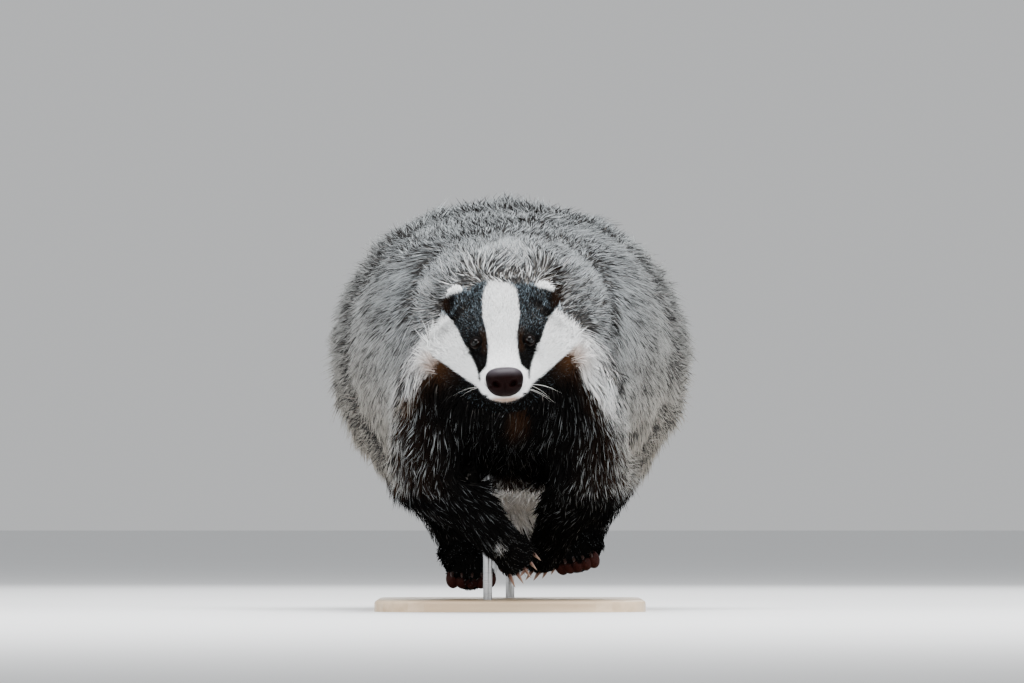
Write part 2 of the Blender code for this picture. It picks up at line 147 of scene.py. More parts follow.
class Finish:
    """A Principled material whose nodes come from one method, `node`."""

    def __init__(self, name, roughness, **constants):
        self.material = bpy.data.materials.new(name)
        self.material.use_nodes = True
        self.tree = self.material.node_tree
        self.shader = self.tree.nodes["Principled BSDF"]
        self.shader.inputs["Roughness"].default_value = roughness
        for socket, value in constants.items():
            self.shader.inputs[socket.replace("_", " ")].default_value = value

    def node(self, kind, settings=None, values=(), out=0):
        """Adds a node, sets its settings, then fills or links its sockets, and returns one output."""
        made = self.tree.nodes.new(kind)
        for key, value in (settings or {}).items():
            setattr(made, key, value)
        pairs = values.items() if isinstance(values, dict) else enumerate(values)
        for key, value in pairs:
            if isinstance(value, Wire):
                self.tree.links.new(value.socket, made.inputs[key])
            else:
                made.inputs[key].default_value = value
        return Wire(self, made.outputs[out])

    def blend(self, amount, first, second):
        """Mixes two colours: the first at 0, the second at 1."""
        mix = self.tree.nodes.new("ShaderNodeMix")
        mix.data_type = "RGBA"
        for socket, value in ((mix.inputs[0], amount), (mix.inputs[6], first), (mix.inputs[7], second)):
            if isinstance(value, Wire):
                self.tree.links.new(value.socket, socket)
            else:
                socket.default_value = (*value, 1.0) if isinstance(value, tuple) else value
        return Wire(self, mix.outputs[2])

    def noise(self, scale, detail=3.0, spot=None):
        """Noise over the object's own coordinates, about 0.5 on average."""
        spot = spot or self.place()
        return self.node("ShaderNodeTexNoise", {}, {"Vector": spot, "Scale": scale, "Detail": detail})

    def place(self):
        """Object coordinates."""
        return self.node("ShaderNodeTexCoord", {}, {}, 3)

    def attribute(self, name):
        """The three numbers of a mesh attribute."""
        colour = self.node("ShaderNodeAttribute", {"attribute_name": name}, {}, 0)
        split = self.tree.nodes.new("ShaderNodeSeparateColor")
        self.tree.links.new(colour.socket, split.inputs[0])
        return [Wire(self, split.outputs[k]) for k in range(3)]

    def feed(self, socket, wire):
        """Links a value to one of the shader's own sockets."""
        self.tree.links.new(wire.socket, self.shader.inputs[socket])

    def tint(self, amount, first, second):
        """Colours the surface with a mix of two colours."""
        self.feed("Base Color", self.blend(amount, first, second))

    def bump(self, height, distance, strength=1.0):
        """Lets a height stand out from the surface."""
        settings = {"Height": height, "Distance": distance, "Strength": strength}
        self.feed("Normal", self.node("ShaderNodeBump", {}, settings))


def new_piece(name, points, faces, finish, body="root"):
    """Makes a mesh object at the origin from points and faces, smooth, with one material."""
    mesh = bpy.data.meshes.new(name)
    mesh.vertices.add(len(points))
    mesh.vertices.foreach_set("co", np.ascontiguousarray(points, dtype=np.float32).ravel())
    mesh.loops.add(faces.size)
    mesh.loops.foreach_set("vertex_index", faces.astype(np.int32).ravel())
    mesh.polygons.add(len(faces))
    mesh.polygons.foreach_set("loop_start", np.arange(0, faces.size, faces.shape[1], dtype=np.int32))
    mesh.update(calc_edges=True)
    mesh.shade_smooth()
    mesh.materials.append(finish.material)
    piece = bpy.data.objects.new(name, mesh)
    bpy.context.scene.collection.objects.link(piece)
    if body:
        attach(piece, body)
    return piece


def studio_floor():
    """A square sheet of paper-white board."""
    paper = Finish("floor_paper", 0.85)
    paper.tint(paper.noise(3.0), (0.74, 0.75, 0.76), (0.78, 0.79, 0.80))
    corners = FLOOR_HALF * np.array([(-1, -1, 0), (1, -1, 0), (1, 1, 0), (-1, 1, 0)])
    sheet = new_piece("studio_floor", corners, np.array([(0, 1, 2, 3)]), paper, body=None)
    sheet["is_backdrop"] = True


studio_floor()


# The skin: one hide over the whole body. It is taken from the coated solids, which a fine voxel grid
# joins without seams, then sinks in by the depth of the coat that grows on it.
FLESH = ["head", "lower_jaw", "ear_left", "ear_right", "neck", "chest", "abdomen", "hindquarters", "tail"]
FLESH += [f"{part}_{side}" for part in ("upper_arm", "forearm", "forepaw", "thigh", "hind_foot")
          for side in ("left", "right")]
SKIN_VOXEL = 0.0036
SWELL = 0.0006
SAME_PLACE = 1e-6


def mesh_arrays(mesh):
    """The points and triangles of a mesh, with points in the same place merged."""
    shape = bmesh.new()
    shape.from_mesh(mesh)
    bmesh.ops.remove_doubles(shape, verts=shape.verts, dist=SAME_PLACE)
    bmesh.ops.triangulate(shape, faces=shape.faces)
    points = np.array([v.co for v in shape.verts])
    faces = np.array([[v.index for v in f.verts] for f in shape.faces])
    shape.free()
    return points, faces


def node_arrays(name):
    """The points and triangles of a CAD node."""
    return mesh_arrays(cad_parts[name].data)


def joined(pieces):
    """Points and faces of several pieces as those of one."""
    starts = np.cumsum([0] + [len(points) for points, _faces in pieces])
    return (np.vstack([points for points, _faces in pieces]),
            np.vstack([faces + start for (_points, faces), start in zip(pieces, starts)]))


def corner_normals(points, faces):
    """Unit normals at the points: the sum of the normals of the faces round each, weighted by area."""
    a, b, c = points[faces.T]
    across = np.cross(b - a, c - a)
    total = np.stack([np.bincount(faces.ravel(), np.repeat(across[:, k], 3), len(points))
                      for k in range(3)], axis=1)
    return total / np.maximum(np.linalg.norm(total, axis=1, keepdims=True), 1e-12)


def grown_together(pieces, voxel):
    """Joins closed pieces into one hide: each is swollen a little past the thin cuts, then a voxel
    grid merges them."""
    points, faces = joined([(spots + SWELL * corner_normals(spots, sides), sides) for spots, sides in pieces])
    mesh = bpy.data.meshes.new("hide")
    mesh.from_pydata(points, [], faces)
    thing = bpy.data.objects.new("hide", mesh)
    bpy.context.scene.collection.objects.link(thing)
    merge = thing.modifiers.new("merge", "REMESH")
    merge.mode = "VOXEL"
    merge.voxel_size = voxel
    bpy.context.view_layer.update()
    made = bpy.data.meshes.new_from_object(thing.evaluated_get(bpy.context.evaluated_depsgraph_get()))
    bpy.data.objects.remove(thing)
    return mesh_arrays(made)


def face_edges(faces):
    """The edges of all triangles: every first side, then every second and third, lower point first."""
    return np.sort(np.vstack([faces[:, [k, (k + 1) % 3]] for k in range(3)]), axis=1)


class Hide:
    """Points and triangles with their neighbours, for smoothing values over the surface."""

    def __init__(self, points, faces):
        self.points = points
        self.faces = faces
        edges = np.unique(face_edges(faces), axis=0)
        self.start = np.concatenate([edges[:, 0], edges[:, 1]])
        self.end = np.concatenate([edges[:, 1], edges[:, 0]])
        self.count = np.bincount(self.start, minlength=len(points)).astype(float)

    def around(self, values):
        """The mean of the neighbours' values at each point."""
        columns = values.reshape(len(values), -1)
        sums = [np.bincount(self.start, columns[self.end, k], len(values)) for k in range(columns.shape[1])]
        return (np.stack(sums, axis=1) / self.count[:, None]).reshape(values.shape)

    def smooth(self, values, rounds, share=0.5):
        """Values drawn toward their neighbours' mean, a number of times."""
        share = np.asarray(share)
        if share.ndim == 1 and values.ndim == 2:
            share = share[:, None]
        for _ in range(rounds):
            values = values + share * (self.around(values) - values)
        return values

    def evened(self, points, rounds, share):
        """Points smoothed without shrinking: each step inward is followed by a slightly larger one
        outward."""
        for _ in range(rounds):
            points = self.smooth(points, 1, share)
            points = self.smooth(points, 1, -1.04 * share)
        return points

    def normals(self):
        """Unit normals at the points."""
        return corner_normals(self.points, self.faces)


def finer(points, faces, chosen):
    """Halves every edge between two chosen points, so triangles of three chosen points become four
    and those beside them become two."""
    pairs, place = np.unique(face_edges(faces), axis=0, return_inverse=True)
    halved = chosen[pairs].all(axis=1)
    middle = np.where(halved, len(points) + np.cumsum(halved) - 1, -1)
    points = np.vstack([points, points[pairs[halved]].mean(axis=1)])
    mids = middle[place.reshape(3, -1).T]
    whole = (mids >= 0).sum(axis=1)
    kept = faces[whole == 0]
    a, b, c = faces[whole == 3].T
    ab, bc, ca = mids[whole == 3].T
    quarters = [np.stack(corner, axis=1) for corner in ((a, ab, ca), (ab, b, bc), (ca, bc, c), (ab, bc, ca))]
    halves = []
    for k in range(3):
        beside = (whole == 1) & (mids[:, k] >= 0)
        first, second, third = faces[beside][:, [k, (k + 1) % 3, (k + 2) % 3]].T
        half = mids[beside, k]
        halves += [np.stack([first, half, third], axis=1), np.stack([half, second, third], axis=1)]
    return points, np.vstack([kept, *quarters, *halves])


def edge(values, low, high):
    """Smooth step on an array: 0 below low, 1 above high."""
    share = np.clip((values - low) / (high - low), 0.0, 1.0)
    return share * share * (3.0 - 2.0 * share)


def fade(values, low, high):
    """The other way round: 1 below low, 0 above high."""
    return 1 - edge(values, low, high)


def lengths(vectors):
    """The length of each vector."""
    return np.linalg.norm(vectors, axis=1)


def unit(vectors):
    """Vectors of length one."""
    return vectors / np.maximum(np.linalg.norm(vectors, axis=-1, keepdims=True), 1e-9)


# The head's own frame: it leans 3 degrees to its right, about a pivot a little off the middle.
HEAD_X = -0.0065
HEAD_PIVOT_Z = 0.235
HEAD_ROLL = math.radians(-3.0)
ROLL_COS, ROLL_SIN = math.cos(HEAD_ROLL), math.sin(HEAD_ROLL)
NOSE = np.array([0.0, -0.400, 0.2015])
EYE = np.array([0.0232, -0.3522, 0.2365])


def to_head(points):
    """World points in the upright head's frame: a turn back about the long axis of the head."""
    x = points[:, 0] - HEAD_X
    z = points[:, 2] - HEAD_PIVOT_Z
    return np.stack([x * ROLL_COS - z * ROLL_SIN, points[:, 1], x * ROLL_SIN + z * ROLL_COS + HEAD_PIVOT_Z],
                    axis=1)


def from_head(points):
    """Points of the upright head's frame in the world."""
    points = np.atleast_2d(np.asarray(points, dtype=float))
    x, z = points[:, 0], points[:, 2] - HEAD_PIVOT_Z
    return np.stack([HEAD_X + x * ROLL_COS + z * ROLL_SIN, points[:, 1],
                     HEAD_PIVOT_Z - x * ROLL_SIN + z * ROLL_COS], axis=1)


def nearest_piece(points, pieces):
    """The number of the piece that lies nearest to each point."""
    corners, faces = joined(pieces)
    owner = np.repeat(np.arange(len(pieces)), [len(sides) for _spots, sides in pieces])
    tree = BVHTree.FromPolygons(corners.tolist(), faces.tolist())
    return owner[[tree.find_nearest(point)[2] for point in points.tolist()]]


# The coat of each part: its length, the share of that which is depth, and the way it lies. It is
# longest on the back and tail, and shortest on the face and feet.
COAT = {
    "head": (0.012, 0.34, (0, 1, 0)),
    "lower_jaw": (0.010, 0.34, (0, 1, 0)),
    "ear": (0.006, 0.25, (0, 0.5, 1)),
    "neck": (0.036, 0.36, (0, 1, -0.30)),
    "chest": (0.042, 0.40, (0, 0.55, -1)),
    "abdomen": (0.050, 0.42, (0, 1, -0.35)),
    "hindquarters": (0.052, 0.42, (0, 1, -0.55)),
    "tail": (0.052, 0.36, (0, 1, -0.25)),
    "upper_arm": (0.034, 0.38, (0, 0.3, -1)),
    "forearm_left": (0.020, 0.32, (-0.27, 0.55, -0.60)),
    "forearm_right": (0.020, 0.32, (0.64, -0.20, -0.64)),
    "forepaw_left": (0.0065, 0.24, (-0.3, 0.6, -0.9)),
    "forepaw_right": (0.0065, 0.24, (0.6, 0.5, -0.6)),
    "thigh_left": (0.042, 0.40, (-0.33, 0.37, -0.86)),
    "thigh_right": (0.042, 0.40, (0.50, 0.20, -0.85)),
    "hind_foot": (0.0075, 0.24, (0.1, -0.68, -0.25)),
}
HEAD_PARTS = ("head", "lower_jaw", "ear")
FOOT_PARTS = ("forepaw", "hind_foot")
TRUNK_PARTS = ("neck", "abdomen", "chest", "hindquarters")
EAR_COAT = 0.006
CHIN_COAT = 0.013
WING_COAT = 0.014
HEAD_FRONT_Y = -0.262
TRUNK_HALF = 0.16


def coat_of_parts(column):
    """One column of the coat's table, at the points of the hide."""
    rows = [next(COAT[part] for part in COAT if name.startswith(part)) for name in FLESH]
    return np.array([row[column] for row in rows], float)[label]


def on_parts(*starts):
    """1 at the points whose nearest node's name begins with one of these, 0 elsewhere."""
    return np.array([name.startswith(starts) for name in FLESH], float)[label]


# The hide is evened, least on head and feet, and its triangles are halved on the front of the head,
# and again round the nose and the eyes.
solids = [node_arrays(name) for name in FLESH]
points, faces = grown_together(solids, SKIN_VOXEL)
hide = Hide(points, faces)
label = nearest_piece(points, solids)
firm = hide.smooth(on_parts(*HEAD_PARTS, *FOOT_PARTS), 6)
softness = 0.5 * (1.0 - 0.72 * firm) * (1.0 - 0.8 * on_parts("ear"))
points = hide.evened(points, 22, softness)
points, faces = finer(points, faces, points[:, 1] < HEAD_FRONT_Y)
for centre, reach in ((NOSE, 0.026), (EYE, 0.014), (EYE * (-1, 1, 1), 0.014)):
    points, faces = finer(points, faces, lengths(to_head(points) - centre) < reach)
outer = Hide(points, faces)
label = nearest_piece(points, solids)
outer.points = outer.evened(points, 6, 0.4 * outer.smooth(on_parts(*HEAD_PARTS), 4))

# The coat's length eases from part to part. On the head it grows with the way from the nose, and it is
# longest on the cheeks' wings and under the chin.
length = outer.smooth(coat_of_parts(0), 30)
length *= 1 - 0.45 * edge(outer.points[:, 1], 0.350, 0.415)
length *= 1 - 0.55 * outer.smooth(on_parts("thigh") * fade(outer.points[:, 2], 0.095, 0.150), 6)
share = outer.smooth(coat_of_parts(1), 30)
place = to_head(outer.points)
on_head = edge(-place[:, 1], 0.235, 0.275)
behind_nose = place[:, 1] - NOSE[1]
wing = edge(np.abs(place[:, 0]), 0.040, 0.062) * edge(behind_nose, 0.040, 0.090)
head_length = 0.0024 + 0.0046 * edge(behind_nose, 0.0, 0.06) + 0.011 * edge(behind_nose, 0.06, 0.15)
head_length = head_length + WING_COAT * wing
is_ear = on_parts("ear")
head_length = np.where(is_ear > 0, EAR_COAT, head_length)
under_chin = fade(place[:, 2], 0.184, 0.197) * edge(behind_nose, 0.008, 0.035)
head_length = head_length + CHIN_COAT * under_chin
length = outer.smooth(length * (1 - on_head) + head_length * on_head, 6)
depth = length * share


def sunk(hide, depth, rounds=12):
    """Lets the points sink along their normals by the coat's depth, in small steps that keep the
    surface smooth."""
    start = hide.points
    for _ in range(rounds):
        hide.points = hide.points - (depth / rounds)[:, None] * hide.normals()
        hide.points = hide.evened(hide.points, 2, np.minimum(1.0, depth / 0.010) * 0.5)
    points, hide.points = hide.points, start
    return points


skin = Hide(sunk(outer, depth), outer.faces)


def eased(hide, vectors, rounds):
    """Unit vectors smoothed over the surface and laid flat on it."""
    normals = hide.normals()
    vectors = hide.smooth(vectors, rounds)
    return unit(vectors - normals * np.sum(vectors * normals, axis=1, keepdims=True)), normals


# The coat lies back from the nose and round the eyes, spreads sideways from the middle of the back, and
# swirls a little everywhere.
lie = coat_of_parts(2)
lie[:, 1] += 0.9 * edge(skin.points[:, 2], 0.26, 0.33)
lie[:, 0] += 0.45 * (skin.points[:, 0] / TRUNK_HALF) * on_parts(*TRUNK_PARTS)
from_nose = unit(skin.points - from_head(NOSE)) - under_chin[:, None] * (0, 0, 0.5)
lie = unit(lie) * (1 - on_head)[:, None] + (from_nose + (0, 0.25, 0)) * (on_head * (1 - is_ear))[:, None] + (
    lie * (on_head * is_ear)[:, None])
for side in (1, -1):
    away = skin.points - from_head(EYE * (side, 1, 1))
    near = fade(lengths(away), 0.007, 0.014)
    lie = lie * (1 - near)[:, None] + unit(away) * near[:, None]
swirl = skin.smooth(np.random.default_rng(3).normal(size=skin.points.shape), 45)
lie = skin.smooth(lie, 10) + swirl * (0.30 / swirl.std()) * (1 - 0.8 * on_head)[:, None]
lie, upright = eased(skin, lie, 8)

# The markings of skin and coat. Each row is a height and, at that height, how far from the middle an
# edge lies: of the white middle stripe, of the dark stripes, and of the black throat and chest.
CENTRE_STRIPE = ((0.2095, 0.0215), (0.2155, 0.0155), (0.2242, 0.0138), (0.2330, 0.0130), (0.2415, 0.0135),
                 (0.2502, 0.0144), (0.2588, 0.0164), (0.2720, 0.0158), (0.2860, 0.0138))
DARK_STRIPE = ((0.2034, 0.0226), (0.2095, 0.0230), (0.2155, 0.0245), (0.2242, 0.0275), (0.2330, 0.0315),
               (0.2415, 0.0355), (0.2502, 0.0385), (0.2588, 0.0435), (0.2650, 0.0500), (0.2720, 0.0560))
BLACK_LEFT = ((0.083, 0.093), (0.118, 0.095), (0.150, 0.096), (0.165, 0.090), (0.189, 0.074), (0.198, 0.066),
              (0.224, 0.056), (0.235, 0.020))
BLACK_RIGHT = ((0.086, 0.087), (0.114, 0.096), (0.134, 0.102), (0.185, 0.096), (0.198, 0.085), (0.207, 0.071),
               (0.223, 0.058), (0.235, 0.020))


def past_black(points):
    """How far each point lies outside the edge of the black throat and chest."""
    x, z = points[:, 0], points[:, 2]
    return np.abs(x) - np.where(x < 0, np.interp(z, *zip(*BLACK_RIGHT)), np.interp(z, *zip(*BLACK_LEFT)))


def face_markings(points):
    """White, black and tan of the face, and how much each point belongs to it. Two dark stripes run
    from beside the nose through the eyes and over the ears; white lies between and beside them."""
    spot = to_head(points)
    x, y, z = np.abs(spot[:, 0]), spot[:, 1], spot[:, 2]
    inner = np.interp(z, *zip(*CENTRE_STRIPE)) * (1 - 0.3 * edge(y, -0.285, -0.245))
    outer_edge = np.interp(z, *zip(*DARK_STRIPE))
    soft = 0.0009 + 0.004 * edge(y, -0.30, -0.25)
    stripe = edge(x, inner - soft, inner + soft) * fade(x, outer_edge - soft, outer_edge + soft)
    stripe *= edge(z, 0.2010, 0.2050)
    frost = 0.24 * edge(z, 0.236, 0.256) * fade(x, 0.036, 0.046)
    ear_tip = edge(z + 0.32 * (x - 0.0350), 0.2812, 0.2842) * edge(x, 0.0270, 0.0300) * fade(x, 0.046, 0.050)
    muzzle = fade(np.hypot(x / 0.0250, (z - 0.2035) / 0.0205), 0.96, 1.04)
    cheek = edge(z, *(0.1966 + (x - 0.0235) * 0.85 + shift for shift in (-0.0015, 0.0015)))
    cheek *= edge(x, 0.018, 0.024) + edge(z, 0.2, 0.206)
    light = np.clip(np.maximum(np.maximum(muzzle, cheek), edge(past_black(points), -0.004, 0.005)), 0, 1)
    corner = fade(np.abs(x - inner - 0.003), 0.001, 0.004) * fade(np.abs(z - 0.238), 0.006, 0.014)
    fringe = np.exp(-((x - 0.060) / 0.014) ** 2 - ((z - 0.219) / 0.014) ** 2)
    lip = fade(z, 0.1850, 0.1900) * muzzle * fade(x, 0.008, 0.020)
    ear_side = edge(x, 0.042, 0.048) * edge(z, 0.262, 0.27)
    top = 0.262 - (x - 0.045) * 0.75
    above = edge(z, top - 0.002, top + 0.008) * edge(x, 0.0455, 0.0500)
    share = fade(y, -0.262 + 0.035 * edge(x, 0.035, 0.06), -0.225 + 0.045 * edge(x, 0.035, 0.06))
    share *= 1 - above * (1 - stripe)
    black = np.maximum(stripe * (1 - frost), 1 - light) * (1 - ear_tip)
    white = 1 - np.maximum(stripe, 1 - light) * (1 - ear_tip)
    tan = np.maximum.reduce([0.8 * fringe * (1 - cheek), 0.20 * corner * stripe, 0.85 * lip,
                             0.14 * ear_side * (1 - ear_tip)])
    return white, black, tan, share


def markings(points):
    """How white, black and tan the coat is at each point. Throat, chest and legs are black, with a
    rusty edge and a pale ruff beside the throat; the groin is cream, and the rest is grizzled grey,
    warmer low on the flanks."""
    white, black, tan, face = face_markings(points)
    rest = 1 - face
    x, y, z = points.T
    beyond = past_black(points)
    front = fade(y, -0.105, -0.035) * fade(z, 0.226, 0.238)
    chest = front * fade(beyond, -0.014, 0.010) * (1 - 0.22 * edge(np.abs(x), 0.045, 0.085))
    legs = fade(z, 0.100, 0.130)
    belly = 0.7 * fade(z, 0.120, 0.150) * fade(np.abs(x), 0.06, 0.11)
    groin = fade(np.abs(x - 0.012), 0.028, 0.042) * edge(y, -0.06, -0.02) * fade(y, 0.10, 0.14)
    groin *= edge(z, 0.052, 0.062) * fade(z, 0.118, 0.135)
    dark = np.maximum(np.maximum(chest, legs), belly) * (1 - groin)
    ruff = edge(beyond, -0.006, 0.006) * fade(beyond, 0.010, 0.030) * edge(z, 0.150, 0.205)
    ruff *= fade(y, -0.15, -0.09) * fade(z, 0.232, 0.255) * np.where(x > 0, 0.62, 0.14)
    rust = front * fade(np.abs(beyond + 0.002), 0.003, 0.015) * edge(z, 0.155, 0.195)
    ochre = 0.30 * fade(np.hypot(x - 0.008, z - 0.166), 0.003, 0.015) * front
    warm = 0.03 + 0.20 * edge(np.abs(x), 0.08, 0.14) + 0.42 * fade(z, 0.13, 0.30)
    warm = warm * (1 - dark) * (1 - ruff) * (1 - groin)
    wrist = 0.6 * fade(np.hypot(x + 0.0096, z - 0.057), 0.004, 0.008) * front
    nape = (0.16 - 0.10 * edge(x, 0.01, 0.06)) * fade(y, -0.225, -0.140) * edge(z, 0.235, 0.255)
    saddle = 0.30 * edge(z, 0.320, 0.355)
    white = face * white + rest * np.maximum.reduce([groin, ruff, wrist, nape])
    black = face * black + rest * np.maximum(dark * (1 - 0.6 * ruff) * (1 - wrist), saddle)
    tan = face * tan + rest * np.maximum.reduce([warm, ochre, 0.75 * rust, 0.06 * groin, 0.25 * ruff])
    return np.stack([white, black, tan], axis=1)


def paint(mesh, name, values):
    """Stores three numbers at each point of a mesh, or one number three times."""
    rows = np.ones((len(values), 4), dtype=np.float32)
    rows[:, :3] = values.reshape(len(values), -1)
    mesh.attributes.new(name, "FLOAT_COLOR", "POINT").data.foreach_set("color", rows.ravel())


GREY_ENDS = (0.405, 0.435, 0.45)
# Painted shade: the near-black that darkens the hair toward its roots and the skin under the coat, for the
# shade deep in the coat.
PAINTED_ROOT_SHADE = (0.004, 0.0035, 0.003)


def coat_colour(finish, tip, chance, ends=GREY_ENDS):
    """The colour of the coat at a share of its length: grey hairs are pale at the root, dark in a
    band and pale again toward the tip; white and black hairs are nearly even."""
    white, black, tan = finish.attribute("marks")
    at = tip + (chance - 0.5) * 0.40
    root = finish.blend(tan, (0.26, 0.24, 0.22), (0.26, 0.19, 0.12))
    grey = finish.blend(at.rise(0.22, 0.42), root, (0.038, 0.037, 0.037))
    ends = finish.blend(tan, ends, (0.38, 0.32, 0.235))
    grey = finish.blend(at.rise(0.58, 0.78), grey, ends)
    pale = finish.blend(tan, (0.93, 0.94, 0.94), (0.26, 0.13, 0.06))
    dull = finish.blend(tan, (0.40, 0.39, 0.37), (0.1, 0.05, 0.03))
    pale = finish.blend(chance.rise(0.55, 1.0) * 0.86, pale, dull)
    dark = finish.blend(tan, (0.0024, 0.0024, 0.0025), (0.085, 0.036, 0.014))
    # Black hair gets lighter toward its tip at random: partly the hair's own random tone, partly a painted
    # sheen.
    dark = finish.blend(chance * tip * 0.5, dark, (0.013, 0.0125, 0.012))
    return finish.blend(black, finish.blend(white, grey, pale), dark)


def hide_finish():
    """Skin under the coat: the same markings with a fine grain, darkened by painted shade for the shade under
    the coat, less where it is white.
    """
    finish = Finish("skin_under_coat", 0.85, Specular_IOR_Level=0.0)
    grain = finish.noise(420.0, 4.0)
    colour = coat_colour(finish, grain * 0.9 + 0.1, finish.noise(90.0))
    # Painted shade on the skin under the coat, with less of it where the coat is white.
    shade = 0.35 - finish.attribute("marks")[0] * 0.22
    finish.tint(shade, colour, PAINTED_ROOT_SHADE)
    finish.bump(grain, 0.0012)
    return finish


def eye_sockets(points):
    """Sinks the skin behind each eyeball, inside its lids."""
    spot = to_head(points)
    for side in (1, -1):
        away = spot - EYE * (side, 1, 1)
        far = lengths(away)
        sink = fade(far, 0.0044, 0.0060) * (away[:, 1] < 0.004)
        spot = spot + sink[:, None] * np.array([0.0, 0.007, 0.0])
    return from_head(spot)


def mouth_line(spot):
    """How close points of the head's frame lie to the closed lips: a line along each side of the
    muzzle that rises a little toward its corner."""
    line = 0.1895 + 0.05 * (spot[:, 1] + 0.392)
    near = fade(np.abs(spot[:, 2] - line), 0.0003, 0.0016)
    return near * edge(np.abs(spot[:, 0]), 0.011, 0.014) * fade(spot[:, 1], -0.342, -0.334)


mouth = mouth_line(to_head(outer.points)) * on_head
skin.points = skin.points - (0.0022 * mouth)[:, None] * upright
hide_piece = new_piece("skin", eye_sockets(skin.points), skin.faces, hide_finish())
paint(hide_piece.data, "marks", markings(outer.points))
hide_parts(*FLESH)


# The coat: locks of hair that grow from the skin, each a thin closed spindle of three sides. They
# follow the lie of the coat, overlap, and draw together toward their tips.
SIDES = (("left", 1), ("right", -1))
STATIONS = np.array([0.0, 0.5, 1.0])
PATCH = 0.003
HAIR_DEPTH = 0.0006
BEND_BACK = 0.42
SWAY = 0.10
BLOCK = 0.01
chance = np.random.default_rng(7)


def face_areas(hide, weight):
    """The area of each triangle, times the mean weight of its corners."""
    a, b, c = hide.points[hide.faces.T]
    return lengths(np.cross(b - a, c - a)) / 2 * weight[hide.faces].mean(axis=1)


def scattered(hide, weight, count):
    """Evenly spread places on a surface: faces are picked by area times weight, at equal steps of
    their running sum. Gives the faces and the shares of their three corners."""
    block = hide.points[hide.faces[:, 0]] // BLOCK
    order = np.lexsort((block[:, 0], block[:, 2], block[:, 1]))
    running = np.cumsum(face_areas(hide, weight)[order])
    steps = (np.arange(count) + chance.random(count)) * running[-1] / count
    chosen = order[np.minimum(np.searchsorted(running, steps), len(order) - 1)]
    one, two = chance.random((2, count))
    root = np.sqrt(one)
    return chosen, np.stack([1 - root, root * (1 - two), root * two], axis=1)


def at_places(hide, values, chosen, shares):
    """Values of the corners, mixed at places inside the faces."""
    corners = values[hide.faces[chosen]]
    return np.einsum("nk,nk...->n...", shares, corners)


def lock_mesh(name, path, side, up, width, marks, tone, uv, finish):
    """One mesh of all locks. Each has three points round every station of its path and one at the
    tip; its section is a flat triangle whose width swells a little and then runs out."""
    count, rings = len(path), len(STATIONS) - 1
    turn = np.radians([90.0, 210.0, 330.0])
    t = STATIONS[:-1]
    swell = width[:, None] * (1 - t ** 2.2) * (0.72 + 0.9 * t * (1 - t))
    ring = path[:, :-1, None, :] + swell[:, :, None, None] * 0.5 * (
        np.cos(turn)[None, None, :, None] * side[:, None, None, :]
        + 0.55 * np.sin(turn)[None, None, :, None] * up[:, None, None, :])
    points = np.concatenate([ring.reshape(count, -1, 3), path[:, -1:, :]], axis=1)
    each = points.shape[1]
    pattern, spots = [(0, 1, 2)], [((0.0, 0), (0.33, 0), (0.66, 0))]
    for r in range(rings):
        for k in range(3):
            low, high = STATIONS[r], STATIONS[r + 1]
            a, b = 3 * r + k, 3 * r + (k + 1) % 3
            left, right = k / 3, (k + 1) / 3
            if r == rings - 1:
                pattern.append((a, 3 * rings, b))
                spots.append(((left, low), ((left + right) / 2, high), (right, low)))
            else:
                c, d = a + 3, b + 3
                pattern += [(a, c, d), (a, d, b)]
                spots += [((left, low), (left, high), (right, high)),
                          ((left, low), (right, high), (right, low))]
    faces = (np.array(pattern)[None] + (np.arange(count) * each)[:, None, None]).reshape(-1, 3)
    piece = new_piece(name, points.reshape(-1, 3), faces, finish)
    patch = uv[:, None, None, :] + PATCH * np.array(spots)[None]
    layer = piece.data.uv_layers.new(name="OFBake")
    layer.data.foreach_set("uv", patch.astype(np.float32).ravel())
    paint(piece.data, "marks", np.repeat(marks, each, axis=0))
    along = np.append(np.repeat(t, 3), 1.0)
    column = np.append(np.tile(np.arange(3), rings), 1)
    tones = np.stack([np.broadcast_to(along, (count, each)), np.repeat(tone[:, :1], each, axis=1),
                      tone[:, 1 + column % 3]], axis=2)
    paint(piece.data, "lock", tones.reshape(-1, 3))
    return piece


def unwrapped(points, axis_start, axis_end):
    """Places on a map of the skin: the angle round an axis, and the way along it, each over 0 to 1."""
    start, end = np.asarray(axis_start, float), np.asarray(axis_end, float)
    axis = (end - start) / np.linalg.norm(end - start)
    first = unit(np.cross(axis, (0.31, 0.17, 0.94)))
    second = np.cross(axis, first)
    away = points - start
    angle = np.arctan2(away @ second, away @ first) / (2 * np.pi) + 0.5
    along = away @ axis
    along = (along - along.min()) / max(along.max() - along.min(), 1e-6)
    angle = (angle - angle.min()) / max(angle.max() - angle.min(), 1e-6)
    return 0.002 + 0.993 * np.stack([angle, along], axis=1)


def coat_finish(name, ends=GREY_ENDS):
    """Dull hair, coloured by its markings and by the place along its length, and darkened toward the root by
    painted shade.
    """
    finish = Finish(name, 0.70, Specular_IOR_Level=0.0)
    tip, whole, strand = finish.attribute("lock")
    colour = coat_colour(finish, tip, whole * 0.5 + strand * 0.5, ends)
    # Painted shade toward the root of each lock.
    finish.tint((1.0 - tip) * 0.35, colour, PAINTED_ROOT_SHADE)
    return finish


HAIR = {
    "grey_coat": coat_finish("grey_hair"),
    # On the face the pale ends of the grey hairs are the hair's own colour, and their blue tint is a painted
    # reflection of the sky.
    "face_coat": coat_finish("face_hair", (0.30, 0.39, 0.46)),
    "dark_coat": coat_finish("dark_hair"),
}


